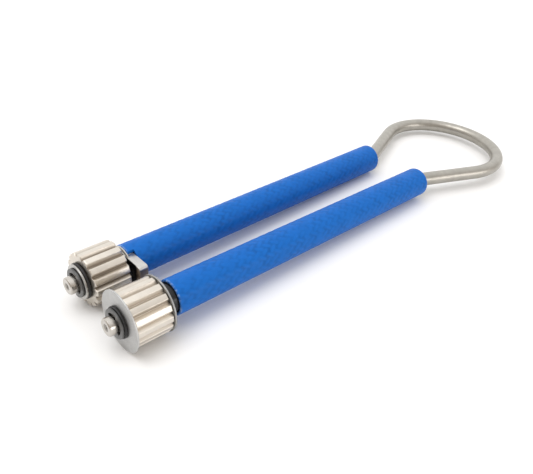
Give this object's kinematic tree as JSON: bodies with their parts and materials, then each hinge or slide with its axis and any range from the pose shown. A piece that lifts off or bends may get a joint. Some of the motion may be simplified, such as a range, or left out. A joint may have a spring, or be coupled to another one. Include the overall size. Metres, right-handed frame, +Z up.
{
  "type": "twin roller wire straightening tongs",
  "caption": "Hand-squeezed spring wire tongs with sleeved handles and fluted rollers at the tips, for pulling twisted wire cores straight.",
  "frame": {"origin": "middle of the underside of the part's box, on the table that it lies on", "axes": "+X along the handles from the rollers to the spring loop, +Y towards the right leg, +Z up from the table"},
  "size_m": [0.1372, 0.0366, 0.0124],
  "materials": {
    "spring_wire": "drawn stainless spring wire, satin",
    "blue_sleeve": "blue coated braided sleeving, satin",
    "black_rubber": "black rubber, semi-gloss",
    "nickel": "nickel plated, warm satin",
    "disc_steel": "matt punched steel",
    "plate_steel": "satin milled steel",
    "clip_steel": "black oxide spring steel"
  },
  "bodies": {
    "bail": {"spring_bail": "spring_wire"},
    "left_leg": {"left_leg_wire": "spring_wire", "left_sleeve": "blue_sleeve", "left_core_tube": "black_rubber", "left_front_disc": "disc_steel", "left_rear_disc": "disc_steel", "left_front_ring": "black_rubber", "left_e_clip": "clip_steel"},
    "left_roller": {"left_roller": "nickel"},
    "right_leg": {"right_leg_wire": "spring_wire", "right_sleeve": "blue_sleeve", "right_core_tube": "black_rubber", "right_stop_plate": "plate_steel", "right_front_ring": "black_rubber", "right_front_washer": "nickel", "right_e_clip": "clip_steel"},
    "right_roller": {"right_roller": "nickel"}
  },
  "joints": [
    {"name": "left_leg_squeeze", "type": "hinge", "parent": "bail", "child": "left_leg", "pos_m": [0.02427, -0.00834, 0.00425], "axis": [-0.0221, -0.0299, -0.9993], "range_deg": [-1.5, 0.7], "stiffness_Nm_per_rad": 20},
    {"name": "right_leg_squeeze", "type": "hinge", "parent": "bail", "child": "right_leg", "pos_m": [0.02426, 0.00834, 0.00375], "axis": [0.0221, 0.0299, 0.9993], "range_deg": [-1.5, 0.7], "stiffness_Nm_per_rad": 20},
    {"name": "left_roller_spin", "type": "hinge", "parent": "left_leg", "child": "left_roller", "pos_m": [-0.06155, -0.0072, 0.00611], "axis": [0.9997, -0.0133, -0.0217], "continuous": true},
    {"name": "right_roller_spin", "type": "hinge", "parent": "right_leg", "child": "right_roller", "pos_m": [-0.06146, 0.0072, 0.00568], "axis": [0.9997, 0.0133, -0.0225], "continuous": true}
  ],
  "couplings": [
    {"joint": "right_leg_squeeze", "follows": "left_leg_squeeze", "ratio": 1}
  ]
}
